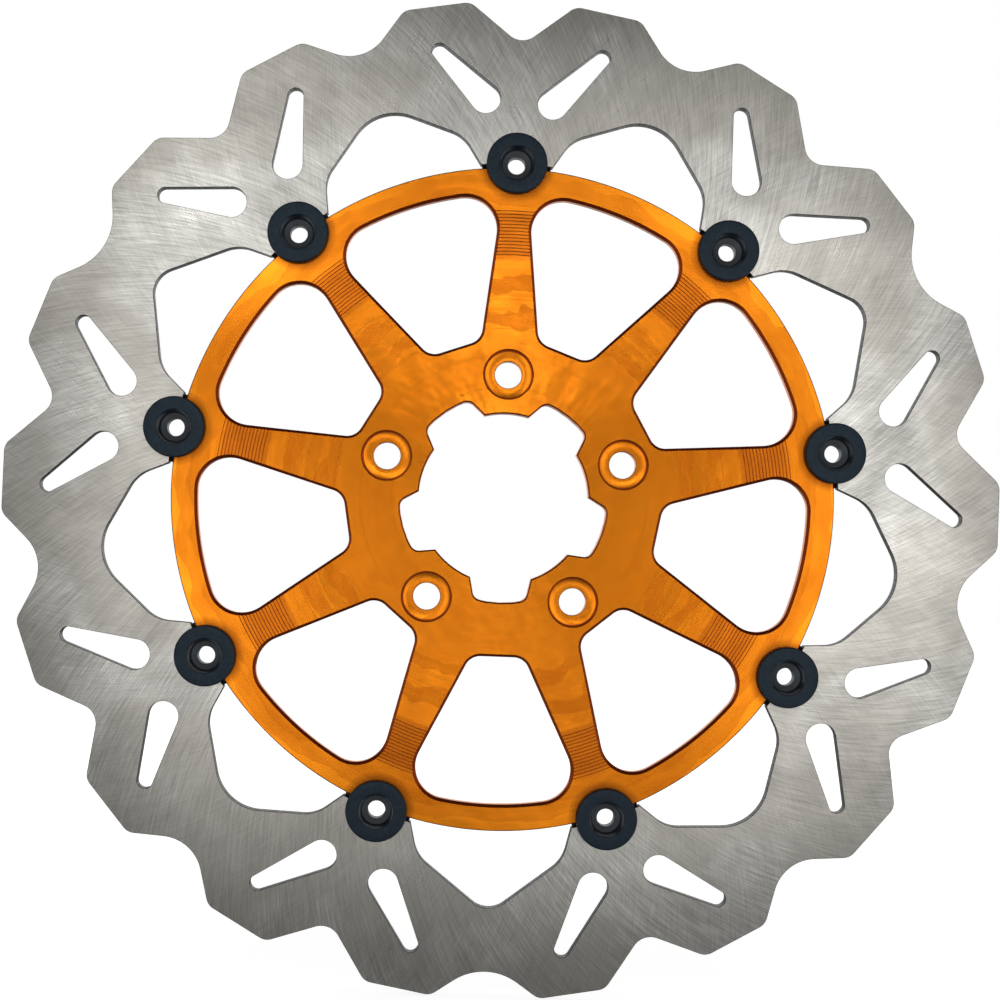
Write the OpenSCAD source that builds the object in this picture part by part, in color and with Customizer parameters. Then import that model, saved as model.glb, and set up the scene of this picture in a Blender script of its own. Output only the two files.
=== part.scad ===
// Floating brake disc rotor for a motorcycle front wheel, in millimetres.
// It stands upright as on the wheel: its axis is Y, the front with the bobbin heads faces -Y,
// and Y = 0 is the hub's rear face, which bolts against the wheel.
// Bobbin 1, spoke 1 and bolt hole 1 are at the top, on +Z, and everything that repeats is
// numbered counter-clockwise as seen from the front.
// The modules draw the rotor lying on its rear face, axis on Z, and upright() stands it up.

/* [Blade] */
// Outside diameter over the lobe corners
blade_d = 330.2; // [329:0.1:332]
// Thickness of the friction blade
blade_t = 5; // [4.6:0.1:5]
// Diameter of the circle that the tabs' inner ends lie on
tab_d = 222; // [221.6:0.1:222.2]
// Tip radius of a slot's narrow outer end
slot_tip_r = 2.6; // [2:0.1:3]
// Tip radius of a slot's wide inner end
slot_root_r = 5; // [4.5:0.1:5.4]

/* [Carrier] */
// Outside diameter of the carrier rim
rim_d = 219.6; // [219:0.1:220]
// Thickness of the carrier rim
rim_t = 4.8; // [4.4:0.1:4.8]
// Height of the hub's front face above its rear face
hub_t = 7.4; // [7:0.1:7.8]
// Diameter of the hub's rear mounting face
hub_face_d = 100; // [98:1:102]
// Number of fine turned steps on the ramp below the rim
ramp_steps = 14; // [6:1:16]

/* [Wheel interface] */
// Diameter of the circle through the bolt holes
bolt_pcd = 82.55; // [82:0.05:83]
// Diameter of a bolt hole
bolt_hole_d = 9; // [8.4:0.1:9.2]
// Diameter of the counterbore for a bolt head
bolt_seat_d = 16.4; // [15.5:0.1:17]
// Depth of that counterbore
bolt_seat_depth = 1.6; // [1:0.1:2.5]
// Diameter of the five pilot arcs that centre the rotor on the wheel hub
pilot_d = 56.5; // [56:0.1:57]
// Diameter of the relief scallops between the pilot arcs
relief_d = 69.2; // [68:0.1:70]

/* [Bobbins] */
// Diameter of the circle through the bobbin centres
bobbin_pcd = 222.2; // [222:0.1:222.4]
// Diameter of a bobbin's barrel
barrel_d = 14; // [13.6:0.1:14.4]
// Diameter of a bobbin's head
head_d = 20.1; // [19.5:0.1:20.5]
// Thickness of a bobbin's head
head_t = 2; // [1.6:0.1:2.4]
// Diameter of a bobbin's through hole
bobbin_hole_d = 5.8; // [5:0.1:6.4]
// Diameter of the mouth of that hole
mouth_d = 11.4; // [10.5:0.1:12]

/* [Clearances] */
// Radial clearance between a barrel and its half-round notches
running_gap = 0.05; // [0.03:0.01:0.1]
// Gap from the blade to the bobbin heads and from the blade to the flat washers
float_gap = 0.3; // [0.25:0.05:0.4]

/* [Hidden] */
bobbins = 9;
bolts = 5;
pitch = 360 / bobbins;
bobbin_numbers = [1 : bobbins];

// Heights of the stack, from the rear to the front.
rim_back_z = 4.7;
rim_front_z = rim_back_z + rim_t;
blade_back_z = rim_back_z + float_gap;
blade_front_z = blade_back_z + blade_t;
head_z = blade_front_z + float_gap;
washer_t = 0.6;
wave_h = 1.1;
wave_t = 0.35;
clip_t = 1;
clip_front_z = rim_back_z - washer_t - wave_h;
tail_z = 1.1;
through = 40;

// Blade outline: a deep valley outside each bobbin, a shallow one midway between bobbins,
// and a straight lobe tip on each side of both. Every third gap is shaped a little differently.
lobe_r = blade_d / 2 + 0.12;
lobe_angle_in = 6.1;
lobe_angle_out = 13.8;
lobe_fillet = 5;
deep_valley_r = 150.6;
deep_valley_fillet = 6.5;
shallow_valley_r = 151.3;
shallow_valley_fillet = 14;
wide_gap_valley_r = 152.1;
wide_gap_valley_fillet = 18.5;

// Blade window: a tent over each gap, open towards the rim. X is across, Y is outwards.
tent_peak_y = 137.4;
tent_peak_fillet = 15.5;
wide_gap_peak_fillet = 8.4;
tent_shoulder = [24, 118.8];
tent_shoulder_fillet = 12;
tent_foot = [28.4, 100];

// Slot ends in polar form: radius, and angle from the bobbin's own radius.
slot_outer_r = 150;
slot_inner_r = 132.4;
slot_longer_by = 1.2;
slot_outer_angle = 10.4;
slot_inner_angle = 4.85;

// Carrier window: flat on the hub side, straight flanks, an arc under the rim.
window_r = 101.1;
window_flank_angle = 26.1;
window_corner_fillet = 10.5;
window_root = [8.9, 52.5];
window_root_fillet = 5.5;

// Turned front face: fine steps on a ramp, then wide shallow terraces down to the hub.
ramp_top_r = 95.5;
ramp_foot_r = 80;
ramp_drop = 1.4;
terrace_radii = [73.5, 66.3, 62.8, 56.5, 47.6, 37];
rim_edge = 0.3;

// Relief scallops between the pilot arcs, about the line midway between two bolts.
relief_foot_angle = 20.9;
relief_corner_angle = 14.4;
relief_fillet = 3;

// Bobbin bore: a steep cup that ends in a cone.
cup_d = 9.7;
cup_depth = 4.6;
cone_depth = 5.8;
groove_d = barrel_d - 0.6;
groove_gap = 0.02;

// ---- outline helpers ----

function unit(v) = v / norm(v);
function polar(r, a) = [r * cos(a), r * sin(a)];
// A corner given by its radius and its angle clockwise from +Y, with a fillet.
function bearing(r, a, fillet = 0) = [r * sin(a), r * cos(a), fillet];
function mirrored(points) = [for (i = [len(points) - 1 : -1 : 0]) [-points[i].x, points[i].y, points[i].z]];
function turned(points, a) =
    [for (p = points) [p.x * cos(a) - p.y * sin(a), p.x * sin(a) + p.y * cos(a), p.z]];
function heading(v) = atan2(v.y, v.x);
function short_way(a) = a > 180 ? a - 360 : a < -180 ? a + 360 : a;

// Points of the arc that rounds the corner at c, between the neighbours p and q.
function fillet_arc(p, c, q, r, step = 7.5) =
    let (
        a = unit(p - c),
        b = unit(q - c),
        half = acos(a * b) / 2,
        centre = c + unit(a + b) * r / sin(half),
        from = heading(c + a * r / tan(half) - centre),
        sweep = short_way(heading(c + b * r / tan(half) - centre) - from),
        n = max(2, ceil(abs(sweep) / step))
    )
    [for (i = [0 : n]) centre + polar(r, from + sweep * i / n)];

function flat(p) = [p.x, p.y];

// Outline through [x, y, fillet] corners. A corner with no fillet stays sharp.
function rounded(corners) =
    let (n = len(corners))
    [for (i = [0 : n - 1])
        let (c = corners[i], p = corners[(i + n - 1) % n], q = corners[(i + 1) % n])
        for (point = c.z > 0 ? fillet_arc(flat(p), flat(c), flat(q), c.z) : [flat(c)])
            point];

// Outline of a belt round two circles: centre a with radius ra, centre b with radius rb.
function belt(a, ra, b, rb, n = 20) =
    let (
        along = heading(b - a),
        lean = acos((ra - rb) / norm(b - a))
    )
    concat(
        [for (i = [0 : n]) b + polar(rb, along - lean + 2 * lean * i / n)],
        [for (i = [0 : n]) a + polar(ra, along + lean + (360 - 2 * lean) * i / n)]
    );

function is_wide_gap(i) = i % 3 == 2;

// Stands up what was drawn lying down: +Z, the front, turns to -Y, and +Y turns to +Z.
module upright() {
    rotate([90, 0, 0])
        children();
}

module around_bobbins() {
    for (i = bobbin_numbers)
        rotate([0, 0, (i - 1) * pitch])
            children();
}

module at_bobbin(i) {
    rotate([0, 0, (i - 1) * pitch])
        translate([0, bobbin_pcd / 2, 0])
            children();
}

module through_cut(points) {
    translate([0, 0, -through / 2])
        linear_extrude(through)
            polygon(points);
}

module bobbin_notches() {
    around_bobbins()
        translate([0, bobbin_pcd / 2, -through / 2])
            cylinder(h = through, d = barrel_d + 2 * running_gap, $fn = 96);
}

// ---- blade ----

// Corners of one pitch of the outer outline, counter-clockwise, from the lobe corner beside
// bobbin i to the one before bobbin i + 1.
function blade_pitch(i) =
    let (
        valley_r = is_wide_gap(i) ? wide_gap_valley_r : shallow_valley_r,
        valley_fillet = is_wide_gap(i) ? wide_gap_valley_fillet : shallow_valley_fillet
    )
    turned([
        bearing(deep_valley_r, 0, deep_valley_fillet),
        bearing(lobe_r, -lobe_angle_in, lobe_fillet),
        bearing(lobe_r, -lobe_angle_out, lobe_fillet),
        bearing(valley_r, -pitch / 2, valley_fillet),
        bearing(lobe_r, lobe_angle_out - pitch, lobe_fillet),
        bearing(lobe_r, lobe_angle_in - pitch, lobe_fillet)
    ], (i - 1) * pitch);

function blade_tent(i) =
    let (half = [
        [tent_foot.x, tent_foot.y, 0],
        [tent_shoulder.x, tent_shoulder.y, tent_shoulder_fillet]
    ])
    concat(
        half,
        [[0, tent_peak_y, is_wide_gap(i) ? wide_gap_peak_fillet : tent_peak_fillet]],
        mirrored(half)
    );

function slot(side) =
    let (inner_r = slot_inner_r - side * slot_longer_by / 2)
    belt(
        flat(bearing(inner_r, side * slot_inner_angle)), slot_root_r,
        flat(bearing(slot_outer_r, side * slot_outer_angle)), slot_tip_r
    );

module blade() {
    color("silver")
        difference() {
            translate([0, 0, blade_back_z])
                linear_extrude(blade_t)
                    polygon(rounded([for (i = bobbin_numbers) each blade_pitch(i)]));
            translate([0, 0, -through / 2])
                cylinder(h = through, d = tab_d, $fn = 360);
            for (i = bobbin_numbers)
                rotate([0, 0, (i - 0.5) * pitch])
                    through_cut(rounded(blade_tent(i)));
            around_bobbins()
                for (side = [-1, 1])
                    through_cut(slot(side));
            bobbin_notches();
        }
}

// ---- carrier ----

// The front face from the ramp's top to its foot, one small flat and one small riser a step.
function ramp_profile() =
    let (
        run = (ramp_top_r - ramp_foot_r) / ramp_steps,
        drop = ramp_drop / ramp_steps
    )
    [for (i = [0 : ramp_steps - 1])
        for (riser_end = [0, 1])
            [ramp_top_r - i * run, rim_front_z - (i + riser_end) * drop]];

// Wide terraces that share what is left of the drop to the hub's front face.
function terrace_profile() =
    let (
        n = len(terrace_radii),
        top_z = rim_front_z - ramp_drop,
        drop = (top_z - hub_t) / n
    )
    [for (i = [0 : n - 1])
        for (riser_end = [0, 1])
            [terrace_radii[i], top_z - (i + riser_end) * drop]];

function carrier_profile() = concat(
    [
        [pilot_d / 2 - 5, 0],
        [hub_face_d / 2, 0],
        [hub_face_d / 2 + 1.5, 1],
        [ramp_top_r, rim_back_z],
        [rim_d / 2 - rim_edge, rim_back_z],
        [rim_d / 2, rim_back_z + rim_edge],
        [rim_d / 2, rim_front_z - rim_edge],
        [rim_d / 2 - rim_edge, rim_front_z]
    ],
    ramp_profile(),
    terrace_profile(),
    [[pilot_d / 2 - 5, hub_t]]
);

// Half of a window: round the root, up the flank, round the corner and along the rim's arc.
// The corner's circle touches the flank on one side and the arc, from inside, on the other.
function carrier_window_half() =
    let (
        flank = flat(bearing(1, window_flank_angle)),
        inward = [-flank.y, flank.x],
        offset = window_corner_fillet + inward * window_root,
        reach = window_r - window_corner_fillet,
        centre = inward * offset + flank * sqrt(reach * reach - offset * offset),
        from = heading(-inward),
        sweep = heading(centre) - from,
        corner_n = 14,
        arc_n = 8
    )
    concat(
        fillet_arc([0, window_root.y], window_root, window_root + flank, window_root_fillet),
        [for (i = [0 : corner_n]) centre + polar(window_corner_fillet, from + sweep * i / corner_n)],
        [for (i = [1 : arc_n - 1]) polar(window_r, heading(centre) + (90 - heading(centre)) * i / arc_n)]
    );

function carrier_window() =
    let (half = carrier_window_half())
    concat(
        half,
        [[0, window_r]],
        [for (i = [len(half) - 1 : -1 : 0]) [-half[i].x, half[i].y]]
    );

function relief() =
    let (
        corner = bearing(relief_d / 2, relief_corner_angle, relief_fillet),
        pilot_end = bearing(pilot_d / 2, relief_foot_angle),
        foot = pilot_end + (pilot_end - corner) * 0.3,
        half = concat(
            [[foot.x, foot.y, 0], corner],
            [bearing(relief_d / 2, relief_corner_angle / 2)]
        )
    )
    concat(half, [bearing(relief_d / 2, 0)], mirrored(half));

module bolt_holes() {
    for (i = [0 : bolts - 1])
        rotate([0, 0, i * 360 / bolts])
            translate([0, bolt_pcd / 2, 0]) {
                translate([0, 0, -through / 2])
                    cylinder(h = through, d = bolt_hole_d, $fn = 72);
                translate([0, 0, hub_t - bolt_seat_depth])
                    cylinder(h = through, d = bolt_seat_d, $fn = 96);
            }
}

module centre_opening() {
    translate([0, 0, -through / 2])
        cylinder(h = through, d = pilot_d, $fn = 180);
    for (i = [0 : bolts - 1])
        rotate([0, 0, (i + 0.5) * 360 / bolts])
            through_cut(rounded(relief()));
}

module carrier() {
    color("darkorange")
        difference() {
            rotate_extrude($fn = 360)
                polygon(carrier_profile());
            for (i = bobbin_numbers)
                rotate([0, 0, (i - 0.5) * pitch])
                    through_cut(carrier_window());
            bobbin_notches();
            bolt_holes();
            centre_opening();
        }
}

// ---- bobbin and the stack behind it ----

module bobbin() {
    head_edge = 0.4;
    head_top_z = head_z + head_t;
    tail_edge = 0.4;
    color("#22262b")
        rotate_extrude($fn = 96)
            polygon([
                [bobbin_hole_d / 2, tail_z],
                [barrel_d / 2 - tail_edge, tail_z],
                [barrel_d / 2, tail_z + tail_edge],
                [barrel_d / 2, clip_front_z - clip_t - groove_gap],
                [groove_d / 2, clip_front_z - clip_t - groove_gap],
                [groove_d / 2, clip_front_z + groove_gap],
                [barrel_d / 2, clip_front_z + groove_gap],
                [barrel_d / 2, head_z],
                [head_d / 2, head_z],
                [head_d / 2, head_top_z - head_edge],
                [head_d / 2 - head_edge, head_top_z],
                [mouth_d / 2, head_top_z],
                [cup_d / 2, head_top_z - cup_depth],
                [bobbin_hole_d / 2, head_top_z - cone_depth]
            ]);
}

// The flat washers reach past the heads and close the gap between the tabs and the rim.
washer_d = 23;
washer_bore_d = barrel_d + 0.3;
wave_d = 18.6;

module flat_washer() {
    color("darkslategray")
        translate([0, 0, rim_back_z - washer_t])
            difference() {
                cylinder(h = washer_t, d = washer_d, $fn = 96);
                translate([0, 0, -1])
                    cylinder(h = washer_t + 2, d = washer_bore_d, $fn = 96);
            }
}

// A ring of spring steel with three waves, as a closed skin round a rectangular section.
module wave_washer() {
    waves = 3;
    rings = 60;
    inner_r = washer_bore_d / 2 + 0.1;
    outer_r = wave_d / 2;
    clearance = 0.02;
    amplitude = (wave_h - wave_t) / 2 - clearance;
    mid_z = clip_front_z + wave_h / 2;
    section = [[inner_r, -wave_t / 2], [outer_r, -wave_t / 2], [outer_r, wave_t / 2], [inner_r, wave_t / 2]];
    points = [for (i = [0 : rings - 1])
        let (a = i * 360 / rings)
        for (s = section)
            [s.x * cos(a), s.x * sin(a), mid_z + s.y + amplitude * sin(waves * a)]];
    faces = [for (i = [0 : rings - 1])
        let (here = i * 4, next = (i + 1) % rings * 4)
        for (j = [0 : 3])
            let (k = (j + 1) % 4)
            each [[here + j, here + k, next + k], [here + j, next + k, next + j]]];
    color("lightgrey")
        polyhedron(points = points, faces = faces, convexity = 4);
}

module circlip() {
    inner_r = groove_d / 2 + 0.03;
    back_r = 8.6;
    back_shift = 0.35;
    ear_r = 1.7;
    ear_y = inner_r + ear_r - 0.25;
    ear_angle = 13;
    gap_half_angle = 8;
    color("dimgray")
        translate([0, 0, clip_front_z - clip_t])
            linear_extrude(clip_t)
                difference() {
                    union() {
                        translate([0, -back_shift])
                            circle(r = back_r, $fn = 96);
                        for (side = [-1, 1])
                            rotate(side * ear_angle)
                                translate([0, ear_y])
                                    circle(r = ear_r, $fn = 48);
                    }
                    circle(r = inner_r, $fn = 96);
                    polygon([
                        [0, 0],
                        flat(bearing(2 * back_r, gap_half_angle)),
                        flat(bearing(2 * back_r, -gap_half_angle))
                    ]);
                    for (side = [-1, 1])
                        rotate(side * ear_angle)
                            translate([0, ear_y])
                                circle(r = 0.8, $fn = 36);
                }
}

// ---- nodes ----

upright() carrier();
upright() blade();
for (i = bobbin_numbers) {
    upright() at_bobbin(i) bobbin();
    upright() at_bobbin(i) flat_washer();
    upright() at_bobbin(i) wave_washer();
    upright() at_bobbin(i) circlip();
}
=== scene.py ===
"""Looks of a floating brake disc rotor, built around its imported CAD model.

The rotor stands upright: its axis is Y, its front faces -Y and its first bobbin is at the top.
Shapes are worked out lying down, as (x, up, height), where height is measured forwards from the
hub's rear face, and placed() stands them up, as (x, -height, up). Lengths are in metres.
"""

import math

import bmesh
import bpy
from mathutils import Matrix, Vector


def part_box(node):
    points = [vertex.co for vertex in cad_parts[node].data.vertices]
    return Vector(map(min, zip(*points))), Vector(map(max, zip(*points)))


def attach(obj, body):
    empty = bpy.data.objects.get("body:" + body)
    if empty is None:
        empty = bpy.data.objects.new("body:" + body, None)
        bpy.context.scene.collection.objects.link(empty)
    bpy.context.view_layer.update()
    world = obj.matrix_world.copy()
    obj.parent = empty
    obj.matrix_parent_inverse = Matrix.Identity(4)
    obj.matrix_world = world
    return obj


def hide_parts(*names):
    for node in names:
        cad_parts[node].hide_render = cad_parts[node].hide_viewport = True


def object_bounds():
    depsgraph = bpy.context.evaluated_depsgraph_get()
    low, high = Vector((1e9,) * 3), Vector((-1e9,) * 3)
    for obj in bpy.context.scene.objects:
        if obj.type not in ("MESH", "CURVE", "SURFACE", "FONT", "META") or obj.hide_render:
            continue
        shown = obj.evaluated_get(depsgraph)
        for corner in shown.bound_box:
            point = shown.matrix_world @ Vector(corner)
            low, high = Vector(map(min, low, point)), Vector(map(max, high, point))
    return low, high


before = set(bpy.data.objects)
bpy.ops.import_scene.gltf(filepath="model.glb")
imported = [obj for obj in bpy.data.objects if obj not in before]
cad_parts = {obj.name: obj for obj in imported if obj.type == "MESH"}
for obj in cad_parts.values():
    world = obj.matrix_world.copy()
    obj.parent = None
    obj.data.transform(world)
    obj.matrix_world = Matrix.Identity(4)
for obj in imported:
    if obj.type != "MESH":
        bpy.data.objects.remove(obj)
cad_low, cad_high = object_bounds()

MM = 0.001
BOBBINS = 9
BOLTS = 5
PITCH = math.tau / BOBBINS
TOP = math.radians(90)
ROUND_SEGMENTS = 128

# Heights and radii read from the frame.
BLADE_BACK = -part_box("blade")[1].y
BLADE_FRONT = -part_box("blade")[0].y
RIM_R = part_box("carrier")[1].x
RIM_FRONT = -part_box("carrier")[0].y
HEAD_FRONT = -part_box("bobbin_1")[0].y
TAIL_BACK = -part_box("bobbin_1")[1].y
HEAD_R = (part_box("bobbin_1")[1].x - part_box("bobbin_1")[0].x) / 2
BOBBIN_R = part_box("bobbin_1")[1].z - HEAD_R
WASHER_R = (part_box("flat_washer_1")[1].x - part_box("flat_washer_1")[0].x) / 2
WASHER_FRONT = -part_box("flat_washer_1")[0].y
WASHER_BACK = -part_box("flat_washer_1")[1].y
CLIP_FRONT = -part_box("circlip_1")[0].y
CLIP_BACK = -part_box("circlip_1")[1].y

# ---- shapes ----


def polar(radius, angle):
    return Vector((radius * math.cos(angle), radius * math.sin(angle)))


def placed(x, up, height):
    return Vector((x, -height, up))


def soften(corners, step=math.radians(6)):
    """An outline through (x, y, radius) corners, each rounded to its radius. Radius 0 stays sharp."""
    points = []
    for i, (x, y, radius) in enumerate(corners):
        corner = Vector((x, y))
        if radius == 0:
            points.append(corner)
            continue
        before = Vector(corners[i - 1][:2]) - corner
        after = Vector(corners[(i + 1) % len(corners)][:2]) - corner
        before.normalize()
        after.normalize()
        half = math.acos(max(-1, min(1, before.dot(after)))) / 2
        centre = corner + (before + after).normalized() * radius / math.sin(half)
        start = corner + before * radius / math.tan(half) - centre
        end = corner + after * radius / math.tan(half) - centre
        sweep = start.angle_signed(end)
        count = max(2, math.ceil(abs(sweep) / step))
        first = math.atan2(start.y, start.x)
        for k in range(count + 1):
            points.append(centre + polar(radius, first - sweep * k / count))
    return points


def cap_loops(node, height):
    """Closed outlines (x, up) of a CAD node's flat face at a height, longest first.
    They run with the material on one side: all of them the same way round it."""
    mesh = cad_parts[node].data
    mesh.calc_loop_triangles()
    following = {}
    edges = set()
    for triangle in mesh.loop_triangles:
        corners = [mesh.vertices[v].co for v in triangle.vertices]
        if all(abs(-c.y - height) < 0.002 * MM for c in corners):
            keys = [(round(c.x, 6), round(c.z, 6)) for c in corners]
            edges.update((keys[k], keys[(k + 1) % 3]) for k in range(3))
    for a, b in edges:
        if (b, a) not in edges:
            following[a] = b
    loops = []
    while following:
        key = next(iter(following))
        loop = []
        while key in following:
            loop.append(Vector(key))
            key = following.pop(key)
        loops.append(loop)
    loops.sort(key=lambda points: -sum((points[i] - points[i - 1]).length for i in range(len(points))))
    return loops


def refined(loop, longest=3 * MM, corner=math.radians(25)):
    """The outline with a point added on each short chord, moved out to the curve it stands for."""
    count = len(loop)
    spans = [loop[(i + 1) % count] - loop[i] for i in range(count)]
    turns = [spans[i - 1].angle_signed(spans[i]) for i in range(count)]
    points = []
    for i, span in enumerate(spans):
        points.append(loop[i])
        if span.length > longest:
            continue
        lean = 0
        for at, beside in ((i, spans[i - 1]), ((i + 1) % count, spans[(i + 1) % count])):
            if abs(turns[at]) < corner:
                lean += turns[at] * beside.length / (beside.length + span.length)
        points.append(loop[i] + span / 2 + Vector((-span.y, span.x)) * lean / 8)
    return points


def cad_outlines(node, height):
    """A CAD node's refined outlines at a height, the outer one first and counter-clockwise."""
    loops = [refined(loop) for loop in cap_loops(node, height)]
    if area(loops[0]) < 0:
        loops = [loop[::-1] for loop in loops]
    return loops


def offset(loop, distance):
    """The outline moved sideways, to the left of its direction."""
    count = len(loop)
    moved = []
    for i, point in enumerate(loop):
        a = (point - loop[i - 1]).normalized()
        b = (loop[(i + 1) % count] - point).normalized()
        side = Vector((-a.y - b.y, a.x + b.x))
        moved.append(point + side * distance / max(0.5, 1 + a.dot(b)))
    return moved


def area(loop):
    return sum(loop[i - 1].x * p.y - p.x * loop[i - 1].y for i, p in enumerate(loop)) / 2


# ---- mesh building ----


def linked(name, data):
    """A new object in the scene."""
    piece = bpy.data.objects.new(name, data)
    bpy.context.scene.collection.objects.link(piece)
    return piece


def baked(name, bm):
    """The mesh of everything that was built, with its faces turned outwards."""
    bmesh.ops.recalc_face_normals(bm, faces=bm.faces)
    mesh = bpy.data.meshes.new(name)
    bm.to_mesh(mesh)
    bm.free()
    return mesh


def smooth_with(mesh, materials, sharp):
    """The mesh in its materials, smooth except over edges sharper than the angle in degrees."""
    for material in materials:
        mesh.materials.append(material)
    mesh.shade_smooth()
    mesh.set_sharp_from_angle(angle=math.radians(sharp))
    return mesh


def finished(name, mesh, materials, sharp=15):
    """An object from a built mesh, smooth except over sharp edges and on faces that look nearly
    straight along the axis: those stay flat, however thin their triangles."""
    smooth_with(mesh, materials, sharp)
    flat_from = math.cos(math.radians(20))
    for polygon in mesh.polygons:
        polygon.use_smooth = abs(polygon.normal.y) < flat_from
    return linked(name, mesh)


def skin(bm, rings, material=0, closed=False):
    """Quads between successive rings of vertices. Each ring is a closed loop."""
    pairs = list(zip(rings, rings[1:]))
    if closed:
        pairs.append((rings[-1], rings[0]))
    for low, high in pairs:
        for i in range(len(low)):
            face = bm.faces.new((low[i - 1], low[i], high[i], high[i - 1]))
            face.material_index = material


def slab(name, loops, back, front, edge, materials):
    """A plate between two heights with the given outlines and rounded edges.
    Its faces take the first material and its walls the second."""
    bm = bmesh.new()
    quarter = edge * (1 - math.cos(math.radians(45)))
    levels = [
        (front, edge),
        (front - quarter, quarter),
        (front - edge, 0),
        (back + edge, 0),
        (back + quarter, quarter),
        (back, edge),
    ]
    caps = ([], [])
    for loop in loops:
        rings = []
        for height, inset in levels:
            outline = offset(loop, inset)
            rings.append([bm.verts.new(placed(p.x, p.y, height)) for p in outline])
        skin(bm, rings, material=1)
        for cap, ring in zip(caps, (rings[0], rings[-1])):
            cap += [bm.edges.get((ring[i - 1], ring[i])) for i in range(len(ring))]
    for cap in caps:
        bmesh.ops.triangle_fill(bm, edges=cap, use_beauty=True)
    return finished(name, baked(name, bm), materials)


def circle(bm, radius, height, segments, middle=Vector((0, 0))):
    """A ring of vertices round a line along Y through middle (x, up)."""
    points = [middle + polar(radius, math.tau * k / segments) for k in range(segments)]
    return [bm.verts.new(placed(p.x, p.y, height)) for p in points]


def lathe_mesh(name, profile, segments):
    """A closed (radius, height) profile turned round the rotor's axis."""
    bm = bmesh.new()
    rings = [circle(bm, radius, height, segments) for radius, height in profile]
    skin(bm, rings[-1:] + rings)
    return baked(name, bm)


def rides(piece, body, node):
    """Ties a piece to the body that it moves with, and hides the CAD node that it stands for."""
    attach(piece, body)
    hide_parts(node)


# ---- carrier sizes ----

RIM_BACK = 4.7 * MM
HUB_FRONT = 7.4 * MM
HUB_FACE_R = 50 * MM
WEB_FOOT_R = HUB_FACE_R + 1.5 * MM
WEB_FOOT = 1 * MM
CORE_R = 23 * MM
RAMP_TOP_R = 95.5 * MM
RAMP_FOOT_R = 80 * MM
RAMP_DROP = 1.4 * MM
RAMP_STEPS = 14
TERRACES = [73.5 * MM, 66.3 * MM, 62.8 * MM, 56.5 * MM, 47.6 * MM, 37 * MM]
RIM_EDGE = 0.3 * MM

WINDOW_R = 101.1 * MM
WINDOW_FLANK = math.radians(90 - 26.1)
WINDOW_CORNER = 10.5 * MM
WINDOW_ROOT = Vector((8.9 * MM, 52.5 * MM))
WINDOW_ROOT_FILLET = 5.5 * MM
CHAMFER = 1.0 * MM
REAR_CHAMFER = 0.6 * MM

OPENING_MEAN_R = 31 * MM
OPENING_CHAMFER = 0.5 * MM
OPENING_REAR_CHAMFER = 0.35 * MM

NOTCH_R = 7.05 * MM
NOTCH_EDGE = 0.25 * MM
NOTCH_FLARE = 4 * MM
BOLT_CIRCLE_R = 82.55 / 2 * MM
BOLT_HOLE_R = 4.5 * MM
BOLT_SEAT_R = 8.2 * MM
BOLT_SEAT_DEPTH = 1.6 * MM
CUT_ABOVE = 14 * MM
CUT_BELOW = -4 * MM
BLANK_SEGMENTS = 720
TOOL_SEGMENTS = 120

# ---- materials ----


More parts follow.
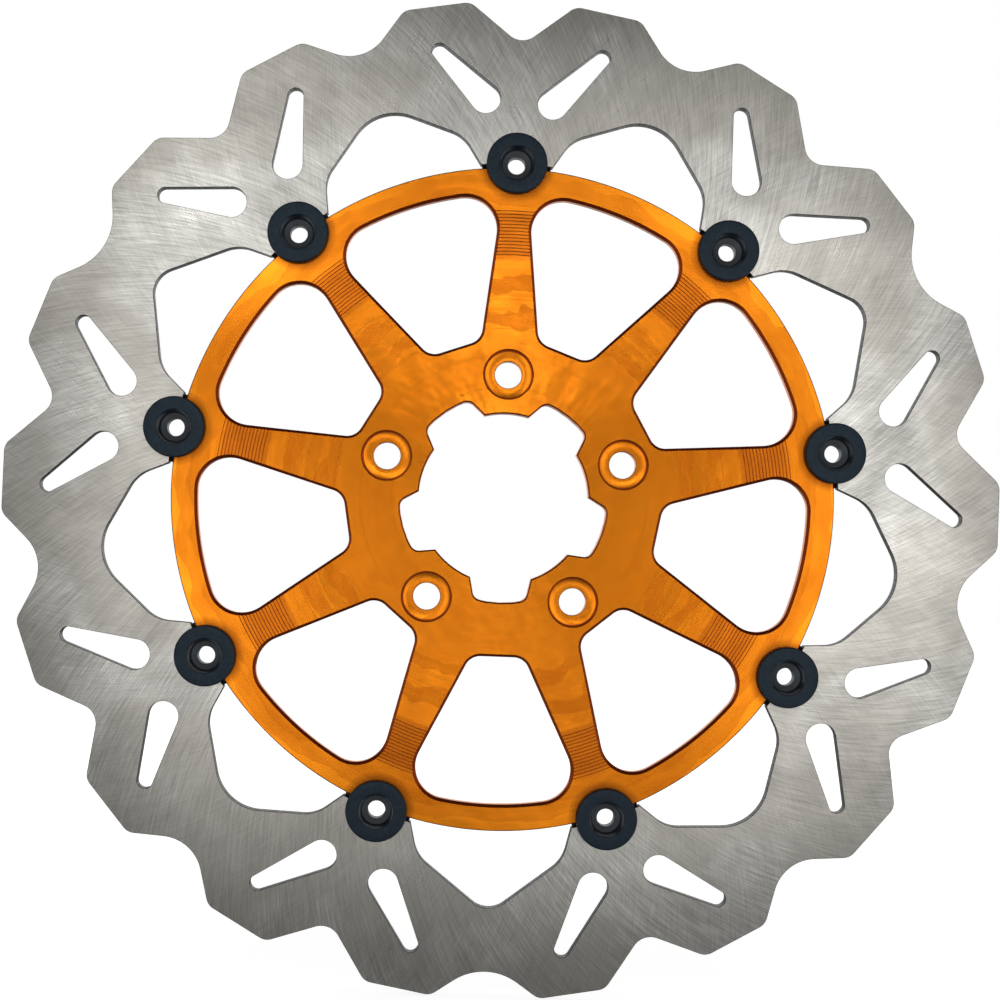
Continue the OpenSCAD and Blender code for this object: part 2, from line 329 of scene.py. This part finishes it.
class Finish:
    """A node material under construction. Inputs given as sockets are linked, others are set."""

    def __init__(self, name):
        self.material = bpy.data.materials.new(name)
        self.material.use_nodes = True
        self.tree = self.material.node_tree
        self.shader = self.tree.nodes["Principled BSDF"]

    def put(self, node, inputs):
        for key, value in inputs.items():
            if isinstance(value, bpy.types.NodeSocket):
                self.tree.links.new(value, node.inputs[key])
            else:
                node.inputs[key].default_value = value
        return node

    def add(self, kind, inputs, output=0, **settings):
        node = self.tree.nodes.new("ShaderNode" + kind)
        for key, value in settings.items():
            setattr(node, key, value)
        return self.put(node, inputs).outputs[output]

    def math(self, operation, *values):
        return self.add("Math", dict(enumerate(values)), operation=operation)

    def vector(self, operation, *values, output=0):
        return self.add("VectorMath", dict(enumerate(values)), operation=operation, output=output)

    def mix(self, factor, a, b):
        return self.add("Mix", {0: factor, 6: a, 7: b}, output=2, data_type="RGBA")

    def span(self, value, low, high, to_low=0.0, to_high=1.0):
        """The value stretched so that low and high go to to_low and to_high, and held there."""
        return self.add("MapRange", {0: value, 1: low, 2: high, 3: to_low, 4: to_high})

    def noise(self, where, scale, detail=2.0, roughness=0.5):
        inputs = {"Vector": where, "Scale": scale, "Detail": detail, "Roughness": roughness}
        return self.add("TexNoise", inputs)

    def position(self):
        return self.add("TexCoord", {}, output="Object")

    def radius(self, where):
        flat = self.vector("MULTIPLY", where, (1, 0, 1))
        return self.vector("LENGTH", flat, output="Value")

    def streaks(self, where, radius, lean, across, along):
        """Noise drawn out into fine lines that cross the radius direction at a lean that grows
        with the radius: `across` lines per radian, `along` changes per metre."""
        turn = self.math("MULTIPLY", radius, lean)
        turned = self.add("VectorRotate", {"Vector": where, "Angle": turn}, rotation_type="Y_AXIS")
        direction = self.vector("NORMALIZE", self.vector("MULTIPLY", turned, (1, 0, 1)))
        wide = self.vector("SCALE", direction)
        self.put(wide.node, {"Scale": across})
        lengthways = self.add("CombineXYZ", {"Y": self.math("MULTIPLY", radius, along)})
        return self.noise(self.vector("ADD", wide, lengthways), 1.0)

    def to_nearest(self, where, count, circle_r):
        """How far a point is from the nearest of the centres evenly spaced on a circle, the first
        of them at the top: the offset, turned as at the top, and the turn that undoes it."""
        across = self.add("SeparateXYZ", {"Vector": where}).node.outputs
        step = math.tau / count
        bearing = self.math("SUBTRACT", self.math("ARCTAN2", across["Z"], across["X"]), TOP)
        nearest = self.math("ROUND", self.math("DIVIDE", bearing, step))
        turn = self.math("MULTIPLY", nearest, step)
        home = self.add("VectorRotate", {"Vector": where, "Angle": turn}, rotation_type="Y_AXIS")
        return self.vector("SUBTRACT", home, (0, 0, circle_r)), turn

    def bump(self, height, distance, strength=1.0, normal=None):
        inputs = {"Height": height, "Distance": distance, "Strength": strength}
        if normal is not None:
            inputs["Normal"] = normal
        return self.add("Bump", inputs)

    def radial_tangent(self):
        return self.add("Tangent", {}, direction_type="RADIAL", axis="Y")


def ground_steel():
    """Blade faces: stainless ground in crossing arcs, with clouds, stains and stray scratches."""
    f = Finish("ground_steel")
    p = f.position()
    r = f.radius(p)
    main = f.math("MULTIPLY", f.streaks(p, r, 4.0, 430, 130), 0.5)
    broad = f.math("MULTIPLY", f.streaks(p, r, 4.6, 150, 45), 0.25)
    crossing = f.math("MULTIPLY", f.streaks(p, r, -3.2, 380, 120), 0.25)
    grain = f.math("ADD", f.math("ADD", main, broad), crossing)
    strays = f.span(f.streaks(p, r, 3.4, 300, 130), 0.62, 0.76)
    clouds = f.noise(p, 42.0, 4.0, 0.6)
    stains = f.noise(f.vector("ADD", p, (3.1, 0, 1.7)), 17.0, 3.0, 0.55)
    patchy = f.span(stains, 0.40, 0.58)
    tone = f.math("ADD", f.math("MULTIPLY", f.math("SUBTRACT", grain, 0.5), 2.9), clouds)
    tone = f.math("ADD", tone, f.math("MULTIPLY", f.math("MULTIPLY", strays, patchy), 0.45))
    metal = f.mix(f.span(tone, 0.1, 1.0), (0.36, 0.350, 0.325, 1), (0.72, 0.705, 0.655, 1))
    stained = f.mix(f.span(stains, 0.56, 0.50, 0.0, 0.4), metal, (0.36, 0.332, 0.285, 1))
    f.put(f.shader, {
        "Base Color": stained,
        "Metallic": 1.0,
        "Roughness": f.span(clouds, 0.3, 0.7, 0.33, 0.26),
        "Anisotropic": 0.5,
        "Tangent": f.radial_tangent(),
        "Normal": f.bump(grain, 0.02 * MM, 0.5),
    })
    return f.material


def cut_steel_shaded():
    """Blade walls: laser cut, with fine lines through the thickness, and painted darker than cut steel:
    painted shade.
    """
    f = Finish("cut_steel_shaded")
    p = f.position()
    lines = f.noise(f.vector("MULTIPLY", p, (1, 0.06, 1)), 2600.0, 2.0)
    # Painted shade: a near-black colour, darker than cut steel, for walls that face away from the light.
    colour = f.mix(f.span(lines, 0.3, 0.7), (0.042, 0.041, 0.040, 1), (0.10, 0.098, 0.096, 1))
    f.put(f.shader, {
        "Base Color": colour,
        "Metallic": 1.0,
        "Roughness": f.span(lines, 0.3, 0.7, 0.5, 0.38),
        "Normal": f.bump(lines, 0.03 * MM, 0.6),
    })
    return f.material


def orange(name, light, dark, roughness, anisotropic, dab_depth=0.0):
    """Anodised aluminium, turned: fine rings, broad passes, soft dabs of tone, an uneven dye.
    With a dab_depth the dabs stand out on the spokes, the ramp is darker in painted shade, and a
    painted shadow rings each bobbin's head."""
    f = Finish(name)
    p = f.position()
    r = f.radius(p)
    rings = f.noise(f.add("CombineXYZ", {"X": r}), 1500.0, 1.0, 0.6)
    fans = f.streaks(p, r, 3.0, 5.0, 60)
    dabs = f.streaks(p, r, 0.0, 9.0, 300)
    dye = f.noise(p, 60.0, 3.0, 0.6)
    wandering = f.math("ADD", r, f.math("MULTIPLY", fans, 14 * MM))
    passes = f.noise(f.add("CombineXYZ", {"X": f.math("SNAP", wandering, 5 * MM)}), 900.0, 0.0)
    tone = 0.0
    for marks, share in ((rings, 0.12), (fans, 0.18), (dabs, 0.18), (dye, 0.12), (passes, 0.4)):
        tone = f.math("ADD", tone, f.math("MULTIPLY", marks, share))
    relief = f.bump(fans, 0.16 * MM, 1.0, f.bump(rings, 0.003 * MM, 0.5))
    colour = f.mix(f.span(tone, 0.35, 0.65), dark, light)
    if dab_depth > 0:
        spokes = f.math("MULTIPLY", f.span(r, RAMP_TOP_R, RAMP_FOOT_R), f.span(r, 46 * MM, 60 * MM))
        relief = f.bump(f.math("MULTIPLY", dabs, spokes), dab_depth, 1.0, relief)
        # Painted shade: the ramp's colour is pulled towards a deep brown, standing in for the light its
        # slope doesn't catch.
        inside_top = f.span(r, RAMP_TOP_R, RAMP_TOP_R - MM)
        outside_foot = f.span(r, RAMP_FOOT_R - MM, RAMP_FOOT_R)
        on_ramp = f.math("MULTIPLY", inside_top, outside_foot)
        colour = f.mix(f.math("MULTIPLY", on_ramp, 0.45), colour, (0.30, 0.055, 0.006, 1))
        # Painted shadow: the carrier is coloured dark in a soft ring round each bobbin's head, where the
        # head would shade it.
        arm = f.to_nearest(p, BOBBINS, BOBBIN_R)[0]
        painted_head_shadow = f.span(f.radius(arm), HEAD_R, HEAD_R + 3 * MM, 0.75, 0.0)
        colour = f.mix(painted_head_shadow, colour, (0.10, 0.02, 0.004, 1))
    f.put(f.shader, {
        "Base Color": colour,
        "Metallic": 1.0,
        "Roughness": f.span(tone, 0.35, 0.65, roughness + 0.04, roughness - 0.04),
        "Anisotropic": anisotropic,
        "Anisotropic Rotation": 0.25,
        "Tangent": f.radial_tangent(),
        "Normal": relief,
    })
    return f.material


def orange_seat():
    """Counterbores: the same dye on faces turned round each bolt's own axis."""
    f = Finish("orange_seat")
    p = f.position()
    arm, turn = f.to_nearest(p, BOLTS, BOLT_CIRCLE_R)
    around = f.vector("CROSS_PRODUCT", arm, (0, 1, 0))
    back = f.math("MULTIPLY", turn, -1)
    tangent = f.add("VectorRotate", {"Vector": around, "Angle": back}, rotation_type="Y_AXIS")
    rings = f.noise(f.add("CombineXYZ", {"X": f.radius(arm)}), 2600.0, 3.0, 0.7)
    dye = f.noise(p, 300.0, 3.0, 0.6)
    f.put(f.shader, {
        "Base Color": f.mix(f.span(dye, 0.35, 0.65), (0.80, 0.21, 0.005, 1), (0.95, 0.30, 0.010, 1)),
        "Metallic": 1.0,
        "Roughness": f.span(rings, 0.3, 0.7, 0.30, 0.24),
        "Anisotropic": 0.75,
        "Anisotropic Rotation": 0.25,
        "Tangent": f.vector("NORMALIZE", tangent),
        "Normal": f.bump(rings, 0.008 * MM, 0.5),
    })
    return f.material


def black_anodised():
    """Bobbins: near-black hard anodise with a trace of turning and of dust."""
    f = Finish("black_anodised")
    p = f.position()
    r = f.radius(p)
    rings = f.noise(f.add("CombineXYZ", {"X": r}), 5200.0, 2.0, 0.6)
    dust = f.noise(p, 700.0, 4.0, 0.6)
    height = f.add("SeparateXYZ", {"Vector": p}, output="Y")
    # Painted sheen: the cone and the bore behind it are coloured a lighter grey, for the light that the
    # sloping cone catches.
    cone = f.math("MULTIPLY", f.span(r, 4.9 * MM, 4.6 * MM), f.span(height, -3 * MM, -4 * MM))
    colour = f.mix(f.span(dust, 0.45, 0.8), (0.006, 0.0105, 0.0165, 1), (0.016, 0.023, 0.032, 1))
    colour = f.mix(cone, colour, (0.10, 0.106, 0.113, 1))
    f.put(f.shader, {
        "Base Color": colour,
        "Metallic": 0.0,
        "Specular IOR Level": 0.4,
        "Specular Tint": (0.6, 0.8, 1.0, 1),
        "Roughness": f.span(rings, 0.3, 0.7, 0.36, 0.46),
        "Normal": f.bump(rings, 0.01 * MM, 0.4),
    })
    return f.material


def plain_steel(name, light, dark, roughness, grain):
    """Small rear parts: stamped or rolled steel with a fine grain."""
    f = Finish(name)
    p = f.position()
    mottle = f.noise(p, grain, 4.0, 0.6)
    f.put(f.shader, {
        "Base Color": f.mix(f.span(mottle, 0.35, 0.65), dark, light),
        "Metallic": 1.0,
        "Roughness": f.span(mottle, 0.3, 0.7, roughness + 0.06, roughness - 0.06),
        "Normal": f.bump(mottle, 0.01 * MM, 0.4),
    })
    return f.material


BLADE_FINISHES = [ground_steel(), cut_steel_shaded()]
CARRIER_FINISHES = [
    # The edge and wall finishes are darker copies of the face's dye: painted shade on chamfers, risers and
    # walls, which face away from the lamps.
    orange("orange_face", (0.92, 0.275, 0.012, 1), (0.60, 0.148, 0.007, 1), 0.25, 0.6, 0.05 * MM),
    orange("orange_edge_shaded", (0.40, 0.068, 0.012, 1), (0.28, 0.045, 0.009, 1), 0.45, 0.0),
    orange("orange_wall_shaded", (0.42, 0.20, 0.15, 1), (0.30, 0.13, 0.10, 1), 0.45, 0.0),
    orange_seat(),
]
BLACK = black_anodised()
# The flat washers are near-black steel; their dark also paints shade into the gap between each blade tab
# and the rim.
NEAR_BLACK_WASHER_STEEL = plain_steel("black_oxide_steel", (0.05, 0.05, 0.055, 1), (0.025, 0.025, 0.03, 1), 0.45, 900.0)
SPRING_STEEL = plain_steel("spring_steel", (0.46, 0.44, 0.42, 1), (0.34, 0.32, 0.31, 1), 0.30, 700.0)
CLIP_STEEL = plain_steel("phosphated_steel", (0.085, 0.085, 0.09, 1), (0.05, 0.05, 0.055, 1), 0.5, 1400.0)

# ---- blade ----


def blade():
    edge = 0.16 * MM
    loops = cad_outlines("blade", BLADE_FRONT)
    piece = slab("blade_ground", loops, BLADE_BACK, BLADE_FRONT, edge, BLADE_FINISHES)
    rides(piece, "blade", "blade")


# ---- carrier ----

# The carrier's finishes, as numbered in its meshes.
FACE, EDGE, WALL, SEAT = range(4)


def front_profile():
    """The turned front face from the rim inwards, as (radius, height). The ramp is stepped, and
    each terrace falls slightly inwards."""
    points = [(RIM_R - RIM_EDGE, RIM_FRONT)]
    run = (RAMP_TOP_R - RAMP_FOOT_R) / RAMP_STEPS
    drop = RAMP_DROP / RAMP_STEPS
    riser = 0.28 * MM
    for i in range(RAMP_STEPS):
        top = RIM_FRONT - i * drop
        points.append((RAMP_TOP_R - i * run + riser / 2, top))
        points.append((RAMP_TOP_R - i * run - riser / 2, top - drop))
    foot = RIM_FRONT - RAMP_DROP
    drop = (foot - HUB_FRONT) / len(TERRACES)
    riser = 0.3 * MM
    step = 0.015 * MM
    for i, radius in enumerate(TERRACES):
        points.append((radius + riser / 2, foot - (i + 1) * drop + step))
        points.append((radius - riser / 2, foot - (i + 1) * drop))
    return points + [(CORE_R, HUB_FRONT)]


def front_height(radius):
    """The front face's height at a radius, with the steps averaged out."""
    spots = [
        (RAMP_TOP_R, RIM_FRONT),
        (RAMP_FOOT_R, RIM_FRONT - RAMP_DROP),
        (TERRACES[0], RIM_FRONT - RAMP_DROP),
        (TERRACES[-1], HUB_FRONT),
    ]
    if radius > RAMP_TOP_R:
        return RIM_FRONT
    for (r_out, high), (r_in, low) in zip(spots, spots[1:]):
        if radius > r_in:
            return low + (high - low) * (radius - r_in) / (r_out - r_in)
    return HUB_FRONT


def rear_height(radius):
    """The rear face's height at a radius: flat hub, conical web, flat rim."""
    if radius > RAMP_TOP_R:
        return RIM_BACK
    if radius > WEB_FOOT_R:
        return WEB_FOOT + (RIM_BACK - WEB_FOOT) * (radius - WEB_FOOT_R) / (RAMP_TOP_R - WEB_FOOT_R)
    return 0


def carrier_blank():
    profile = front_profile() + [
        (CORE_R, 0),
        (HUB_FACE_R, 0),
        (WEB_FOOT_R, WEB_FOOT),
        (RAMP_TOP_R, RIM_BACK),
        (RIM_R - RIM_EDGE, RIM_BACK),
        (RIM_R, RIM_BACK + RIM_EDGE),
        (RIM_R, RIM_FRONT - RIM_EDGE),
    ]
    return lathe_mesh("carrier_blank", profile, BLANK_SEGMENTS)


def window_outline():
    """One carrier window, symmetrical about the top, counter-clockwise."""
    flank = polar(1, WINDOW_FLANK)
    inward = Vector((-flank.y, flank.x))
    away = WINDOW_CORNER + inward.dot(WINDOW_ROOT)
    reach = WINDOW_R - WINDOW_CORNER
    centre = inward * away + flank * math.sqrt(reach * reach - away * away)
    first = math.atan2(-inward.y, -inward.x)
    tangent_at = math.atan2(centre.y, centre.x)
    up_flank = WINDOW_ROOT + flank
    corners = [(0, WINDOW_ROOT.y, 0), (*WINDOW_ROOT, WINDOW_ROOT_FILLET), (*up_flank, 0)]
    half = soften(corners)[1:-1]
    corner_steps = 20
    arc_steps = 14
    for k in range(corner_steps + 1):
        half.append(centre + polar(WINDOW_CORNER, first + (tangent_at - first) * k / corner_steps))
    for k in range(1, arc_steps):
        half.append(polar(WINDOW_R, tangent_at + (TOP - tangent_at) * k / arc_steps))
    mirror = [Vector((-p.x, p.y)) for p in reversed(half)]
    return half + [Vector((0, WINDOW_R))] + mirror


def even(loop, step):
    """The outline with its long chords divided, so that it can follow a curved surface."""
    points = []
    for i, point in enumerate(loop):
        span = loop[(i + 1) % len(loop)] - point
        count = max(1, round(span.length / step))
        points += [point + span * k / count for k in range(count)]
    return points


def cutter(bm, loop, chamfer, rear_chamfer):
    """A closed tool that cuts the outline through the carrier and chamfers both of its edges."""
    wide = offset(loop, -2 * chamfer)
    rear_wide = offset(loop, -2 * rear_chamfer)
    levels = [
        [placed(p.x, p.y, CUT_BELOW) for p in rear_wide],
        [placed(p.x, p.y, rear_height(q.length) - rear_chamfer) for p, q in zip(rear_wide, loop)],
        [placed(p.x, p.y, rear_height(p.length) + rear_chamfer) for p in loop],
        [placed(p.x, p.y, front_height(p.length) - chamfer) for p in loop],
        [placed(p.x, p.y, front_height(q.length) + chamfer) for p, q in zip(wide, loop)],
        [placed(p.x, p.y, CUT_ABOVE) for p in wide],
    ]
    rings = [[bm.verts.new(point) for point in level] for level in levels]
    for low, high, material in zip(rings, rings[1:], (EDGE, EDGE, WALL, EDGE, EDGE)):
        skin(bm, [low, high], material=material)
    bm.faces.new(rings[0])
    bm.faces.new(rings[-1])


def turned_by(loop, angle):
    turn = Matrix.Rotation(angle, 2)
    return [turn @ point for point in loop]


def seat_profile():
    """Counterbore and hole of one bolt, as its cutting tool's (radius, height) and finishes."""
    floor = HUB_FRONT - BOLT_SEAT_DEPTH
    dish = 13 * MM
    steepest = math.radians(14)
    profile = [
        (0, CUT_BELOW, EDGE),
        (BOLT_HOLE_R + 1.5 * MM, CUT_BELOW, EDGE),
        (BOLT_HOLE_R + 0.4 * MM, 0, EDGE),
        (BOLT_HOLE_R, 0.4 * MM, EDGE),
        (BOLT_HOLE_R, floor - 0.15 * MM, WALL),
        (BOLT_HOLE_R + 0.2 * MM, floor, SEAT),
    ]
    steps = 12
    for k in range(steps + 1):
        bend = steepest * k / steps
        radius = BOLT_SEAT_R - dish * (math.sin(steepest) - math.sin(bend))
        profile.append((radius, floor + dish * (1 - math.cos(bend)), SEAT))
    profile += [
        (BOLT_SEAT_R, HUB_FRONT - 0.2 * MM, EDGE),
        (BOLT_SEAT_R + 0.5 * MM, HUB_FRONT + 0.3 * MM, EDGE),
        (BOLT_SEAT_R + 0.5 * MM, CUT_ABOVE, EDGE),
        (0, CUT_ABOVE, EDGE),
    ]
    return profile


def turned_tool(bm, profile, middle):
    """A solid of revolution from (radius, height, finish) points that start and end on its axis.
    A point's finish is that of the face leading to it."""
    rings = [circle(bm, point[0], point[1], TOOL_SEGMENTS, middle) for point in profile[1:-1]]
    for low, high, point in zip(rings, rings[1:], profile[2:]):
        skin(bm, [low, high], material=point[2])
    bm.faces.new(rings[0])
    bm.faces.new(rings[-1])


def notch_profile():
    """A bobbin's notch in the rim, with both of its edges broken."""
    return [
        (0, CUT_BELOW, EDGE),
        (NOTCH_R + NOTCH_FLARE, RIM_BACK + NOTCH_EDGE - NOTCH_FLARE, EDGE),
        (NOTCH_R, RIM_BACK + NOTCH_EDGE, EDGE),
        (NOTCH_R, RIM_FRONT - NOTCH_EDGE, WALL),
        (NOTCH_R + NOTCH_FLARE, RIM_FRONT - NOTCH_EDGE + NOTCH_FLARE, EDGE),
        (0, CUT_ABOVE, EDGE),
    ]


def opening_outline():
    """The centre opening in the CAD carrier's rear face, counter-clockwise."""
    loops = cap_loops("carrier", 0)
    opening = refined(min(loops, key=lambda loop: abs(loop[0].length - OPENING_MEAN_R)))
    if area(opening) < 0:
        opening.reverse()
    return opening


def carrier_tools():
    """Everything that is cut from the blank, in one mesh."""
    bm = bmesh.new()
    window = even(window_outline(), 2 * MM)
    notch = notch_profile()
    for i in range(BOBBINS):
        cutter(bm, turned_by(window, (i + 0.5) * PITCH), CHAMFER, REAR_CHAMFER)
        turned_tool(bm, notch, polar(BOBBIN_R, TOP + i * PITCH))
    seat = seat_profile()
    for i in range(BOLTS):
        turned_tool(bm, seat, polar(BOLT_CIRCLE_R, TOP + i * math.tau / BOLTS))
    cutter(bm, opening_outline(), OPENING_CHAMFER, OPENING_REAR_CHAMFER)
    return baked("carrier_tools", bm)


def carrier():
    """The blank with its tools cut away. A cut surface keeps its tool's finish. The blank's own
    surface comes out as FACE, and its slanting parts, such as the ramp's risers, turn to EDGE, whose darker
    colour paints shade on them."""
    blank = linked("carrier_blank", carrier_blank())
    tools = linked("carrier_tools", carrier_tools())
    for piece in (blank, tools):
        for material in CARRIER_FINISHES:
            piece.data.materials.append(material)
    cut = blank.modifiers.new("cut", "BOOLEAN")
    cut.operation = "DIFFERENCE"
    cut.solver = "MANIFOLD"
    cut.object = tools
    bpy.context.view_layer.update()
    depsgraph = bpy.context.evaluated_depsgraph_get()
    mesh = bpy.data.meshes.new_from_object(blank.evaluated_get(depsgraph))
    for piece in (blank, tools):
        bpy.data.objects.remove(piece)
    mesh.materials.clear()
    piece = finished("carrier_turned", mesh, CARRIER_FINISHES, sharp=12)
    # Painted shade: slanting faces of the blank, the ramp's risers among them, take EDGE's darker colour.
    steep, flat = math.cos(math.radians(60)), math.cos(math.radians(12))
    for polygon in mesh.polygons:
        if polygon.material_index == FACE and steep < abs(polygon.normal.y) < flat:
            polygon.material_index = EDGE
    rides(piece, "carrier", "carrier")


# ---- bobbins and the stacks behind them ----


def bobbin_mesh():
    barrel = 7 * MM
    groove = 6.7 * MM
    hole = 2.9 * MM
    mouth = 5.7 * MM
    cup = 4.85 * MM
    cup_floor = HEAD_FRONT - 4.6 * MM
    cone_floor = HEAD_FRONT - 5.8 * MM
    head_back = HEAD_FRONT - 2 * MM
    play = 0.02 * MM
    corners = [
        (hole, TAIL_BACK, 0.25 * MM),
        (barrel, TAIL_BACK, 0.45 * MM),
        (barrel, CLIP_BACK - play, 0.05 * MM),
        (groove, CLIP_BACK - play, 0.05 * MM),
        (groove, CLIP_FRONT + play, 0.05 * MM),
        (barrel, CLIP_FRONT + play, 0.05 * MM),
        (barrel, head_back, 0.05 * MM),
        (HEAD_R, head_back, 0.15 * MM),
        (HEAD_R, HEAD_FRONT, 0.5 * MM),
        (mouth, HEAD_FRONT, 0.35 * MM),
        (cup, cup_floor, 0.3 * MM),
        (hole, cone_floor, 0.15 * MM),
    ]
    return lathe_mesh("bobbin", soften(corners, step=math.radians(12)), ROUND_SEGMENTS)


def flat_washer_mesh():
    bore = 7.15 * MM
    edge = 0.12 * MM
    corners = [
        (bore, WASHER_BACK, edge),
        (WASHER_R, WASHER_BACK, edge),
        (WASHER_R, WASHER_FRONT, edge),
        (bore, WASHER_FRONT, edge),
    ]
    return lathe_mesh("flat_washer", soften(corners, step=math.radians(22)), ROUND_SEGMENTS)


def wave_washer_mesh():
    """A ring with three waves and a rounded rectangular section."""
    waves = 3
    inner, outer = 7.25 * MM, 9.3 * MM
    thickness = 0.35 * MM
    amplitude = (WASHER_BACK - CLIP_FRONT - thickness) / 2 - 0.02 * MM
    middle = (WASHER_BACK + CLIP_FRONT) / 2
    edge = 0.1 * MM
    low, high = middle - thickness / 2, middle + thickness / 2
    corners = [(inner, low, edge), (outer, low, edge), (outer, high, edge), (inner, high, edge)]
    section = soften(corners, step=math.radians(30))
    segments = 144
    bm = bmesh.new()
    rings = []
    for radius, height in section:
        ring = []
        for k in range(segments):
            angle = math.tau * k / segments
            point = polar(radius, angle)
            lift = amplitude * math.sin(waves * angle)
            ring.append(bm.verts.new(placed(point.x, point.y, height + lift)))
        rings.append(ring)
    skin(bm, rings, closed=True)
    return baked("wave_washer", bm)


def at_bobbins(name, mesh, material, node, body):
    """One object for each bobbin position, sharing a mesh drawn on the rotor's own axis. A {} in
    the body's name stands for the bobbin's number."""
    smooth_with(mesh, [material], sharp=35)
    for i in range(BOBBINS):
        piece = linked(f"{name}_{i + 1}", mesh)
        centre = polar(BOBBIN_R, TOP + i * PITCH)
        turn = Matrix.Rotation(-i * PITCH, 4, "Y")
        piece.matrix_world = Matrix.Translation(placed(centre.x, centre.y, 0)) @ turn
        rides(piece, body.format(i + 1), f"{node}_{i + 1}")


def circlips():
    edge = 0.1 * MM
    finishes = [CLIP_STEEL, CLIP_STEEL]
    for i in range(BOBBINS):
        node = f"circlip_{i + 1}"
        loops = cad_outlines(node, CLIP_BACK)
        piece = slab(f"circlip_sprung_{i + 1}", loops, CLIP_BACK, CLIP_FRONT, edge, finishes)
        rides(piece, f"bobbin_{i + 1}", node)


def stacks():
    """The bobbins, and the washers and circlips on their tails."""
    at_bobbins(
        "bobbin_turned", bobbin_mesh(), BLACK,
        node="bobbin", body="bobbin_{}",
    )
    at_bobbins(
        "flat_washer_stamped", flat_washer_mesh(), NEAR_BLACK_WASHER_STEEL,
        node="flat_washer", body="carrier",
    )
    at_bobbins(
        "wave_washer_rolled", wave_washer_mesh(), SPRING_STEEL,
        node="wave_washer", body="bobbin_{}",
    )
    circlips()


# ---- camera, lights and floor ----


def camera():
    """Nearly straight in front, turned and rolled by a degree or two."""
    lens = 74.03
    distance = 0.67988
    tilt = math.radians(-1.0420)
    swing = math.radians(1.5537)
    roll = math.radians(2.2854)
    shift_x, shift_up = 1.27 * MM, 0.50 * MM
    aim = Matrix.Rotation(swing, 3, "Y") @ Matrix.Rotation(tilt, 3, "X")
    lying = Matrix.Rotation(roll, 3, "Z") @ aim.transposed()
    upright = Matrix.Rotation(math.radians(90), 3, "X")
    place = upright @ (lying @ Vector((-shift_x, -shift_up, distance)) + Vector((0, 0, BLADE_FRONT)))
    data = bpy.data.cameras.new("camera")
    data.lens = lens
    data.clip_start = 0.01
    data.clip_end = 50
    seen_from = linked("camera", data)
    seen_from.matrix_world = Matrix.Translation(place) @ (upright @ lying).to_4x4()
    bpy.context.scene.camera = seen_from


def softbox(name, place, size, power):
    """A soft square light that faces the rotor's centre and can't itself be seen."""
    data = bpy.data.lights.new(name, "AREA")
    data.shape = "SQUARE"
    data.size = size
    data.energy = power
    light = linked(name, data)
    light.location = place
    light.rotation_mode = "QUATERNION"
    light.rotation_quaternion = (-Vector(place)).to_track_quat("-Z", "Y")
    light.visible_camera = False


def lights():
    """Soft lamps in a loose ring in front of the rotor. The flat metal mirrors them round the
    middle: the disc's sides are bright, its hub and its bottom darker. The others light the back
    and the rim, and stand in for the light that a pale floor throws back."""
    ring_stands_at = -0.7
    # Distance from the axis, bearing in degrees, size and power of each.
    lamps = {
        "right_high": (0.28, 15, 0.16, 0.15),
        "high_right": (0.27, 50, 0.16, 0.17),
        "top": (0.135, 84, 0.09, 0.145),
        "high_left": (0.27, 130, 0.16, 0.23),
        "far_left_high": (0.52, 150, 0.26, 0.26),
        "left": (0.18, 182, 0.14, 0.15),
        "low_left": (0.20, 221, 0.15, 0.11),
        "bottom": (0.11, 270, 0.10, 0.07),
        "low_right": (0.20, 305, 0.15, 0.07),
        "right_low": (0.26, 343, 0.18, 0.21),
    }
    for name, (radius, bearing, size, power) in lamps.items():
        spot = polar(radius, math.radians(bearing))
        softbox(name, (spot.x, ring_stands_at, spot.y), size, power)
    softbox("rear", (0.1, 0.9, 0.25), 0.8, 2.0)
    for side, x in (("right", 1), ("left", -1)):
        softbox(f"{side}_side", (1.2 * x, 0.02, 0.3), 0.6, 1.6)
        softbox(f"front_{side}_bounce", (1.1 * x, -0.9, -0.7), 1.0, 3.6)
        softbox(f"rear_{side}_bounce", (x, 1, -0.4), 1.2, 5.5)


def surroundings():
    """White to the camera, and a dim even grey to everything that reflects it."""
    world = bpy.data.worlds.new("surroundings")
    bpy.context.scene.world = world
    world.use_nodes = True
    tree = world.node_tree
    tree.nodes.clear()
    path = tree.nodes.new("ShaderNodeLightPath")
    seen = tree.nodes.new("ShaderNodeBackground")
    seen.inputs["Color"].default_value = (1, 1, 1, 1)
    lit = tree.nodes.new("ShaderNodeBackground")
    lit.inputs["Color"].default_value = (0.95, 0.97, 1, 1)
    lit.inputs["Strength"].default_value = 0.09
    mix = tree.nodes.new("ShaderNodeMixShader")
    out = tree.nodes.new("ShaderNodeOutputWorld")
    tree.links.new(path.outputs["Is Camera Ray"], mix.inputs["Fac"])
    tree.links.new(lit.outputs[0], mix.inputs[1])
    tree.links.new(seen.outputs[0], mix.inputs[2])
    tree.links.new(mix.outputs[0], out.inputs[0])


def floor():
    """A wide pale disc just under the rotor, which glows faintly so that it melts into the white."""
    bm = bmesh.new()
    segments = 96
    rings = []
    for radius in (0.05, 0.5, 1, 2, 4):
        points = [polar(radius, math.tau * k / segments) for k in range(segments)]
        rings.append([bm.verts.new((*point, 0)) for point in points])
    skin(bm, rings)
    bm.faces.new(rings[0])
    f = Finish("pale_floor")
    away = f.vector("LENGTH", f.position(), output="Value")
    f.put(f.shader, {
        "Base Color": (0.5, 0.5, 0.5, 1),
        "Roughness": 0.9,
        "Specular IOR Level": 0.0,
        "Emission Color": (1, 1, 1, 1),
        "Emission Strength": f.span(away, 0.1, 0.8, 0.86, 1.0),
    })
    piece = finished("floor", baked("floor", bm), [f.material])
    piece.location = (0, 0, cad_low.z - 0.5 * MM)
    piece.visible_glossy = False
    piece.visible_diffuse = False
    piece.visible_shadow = False


camera()
lights()
surroundings()
floor()
blade()
carrier()
stacks()

bpy.context.scene.view_settings.view_transform = "Standard"
